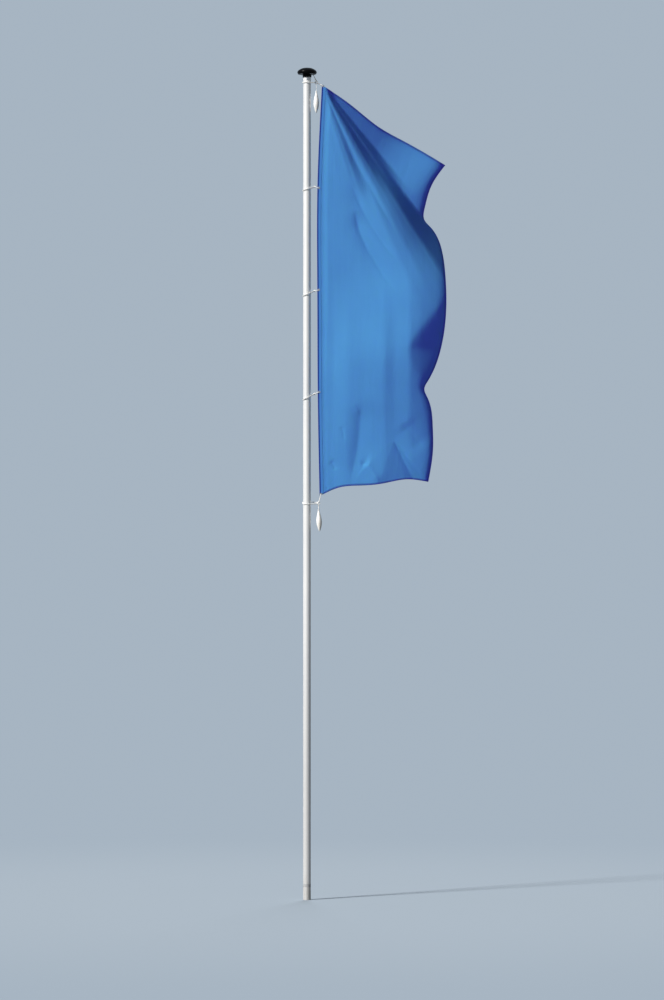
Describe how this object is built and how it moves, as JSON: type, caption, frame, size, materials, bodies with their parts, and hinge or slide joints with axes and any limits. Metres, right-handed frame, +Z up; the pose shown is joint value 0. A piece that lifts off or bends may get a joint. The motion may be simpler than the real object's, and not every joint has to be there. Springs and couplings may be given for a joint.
{
  "type": "flagpole",
  "caption": "Cylindrical aluminium flagpole with a turning mushroom cap, internal halyard and a portrait flag on snap hooks and cord loops.",
  "frame": {"origin": "centre of the foot's flat underside, at ground level", "axes": "+Z up along the pole, +X towards the flag's fly, the camera looks along +Y"},
  "size_m": [1.4507, 0.6661, 8.0877],
  "materials": {
    "anodised_aluminium": "satin",
    "black_plastic": "gloss",
    "grey_plastic": "matte",
    "steel": "satin",
    "white_rope": "matte",
    "white_plastic": "satin",
    "flag_blue": "matte",
    "nickel": "polished"
  },
  "bodies": {
    "pole": {"foot_plug": "anodised_aluminium", "ground_sleeve": "anodised_aluminium", "joint_ring": "grey_plastic", "pole_tube": "anodised_aluminium", "door_panel": "anodised_aluminium", "door_frame": "anodised_aluminium", "door_lock": "steel", "tie_bar": "steel", "halyard_inside": "white_rope", "collar_bush": "grey_plastic", "collar_screw_1": "steel", "collar_screw_2": "steel", "collar_screw_3": "steel", "thrust_washer": "grey_plastic"},
    "head": {"turning_head": "black_plastic", "stem_nut": "steel", "mushroom_cap": "black_plastic", "cap_screw_1": "steel", "cap_screw_2": "steel", "cap_screw_3": "steel", "sheave": "grey_plastic", "sheave_pin": "steel", "cheek_front": "steel", "cheek_back": "steel", "halyard_over_sheave": "white_rope", "halyard_outside": "white_rope"},
    "flag_set": {"halyard_end": "white_rope", "top_link": "white_plastic", "bottom_link": "white_plastic", "hoist_band": "flag_blue", "eyelets": "nickel", "flag_cloth": "flag_blue", "top_loop": "white_rope", "bottom_loop": "white_rope", "hook_top": "white_plastic", "hook_bottom": "white_plastic", "loop_1": "white_rope", "loop_2": "white_rope", "loop_3": "white_rope", "hook_1": "white_plastic", "hook_2": "white_plastic", "hook_3": "white_plastic"},
    "upper_weight": {"upper_weight": "white_plastic", "upper_weight_cord": "white_rope"},
    "lower_weight": {"lower_weight": "white_plastic", "lower_weight_hook": "white_plastic"}
  },
  "joints": [
    {"name": "head_turn", "type": "hinge", "parent": "pole", "child": "head", "pos_m": [0, 0, 8], "axis": [0, 0, 1], "continuous": true},
    {"name": "hoist", "type": "slide", "parent": "head", "child": "flag_set", "axis": [0, 0, 1], "range_m": [-3.3, 0], "deforming": ["halyard_outside"]},
    {"name": "upper_weight_swing", "type": "hinge", "parent": "flag_set", "child": "upper_weight", "pos_m": [0.09, 0, 7.933], "axis": [1, 0, 0], "range_deg": [-60, 60]},
    {"name": "lower_weight_swing", "type": "hinge", "parent": "flag_set", "child": "lower_weight", "pos_m": [0.112, 0, 3.836], "axis": [1, 0, 0], "range_deg": [-60, 60]}
  ]
}
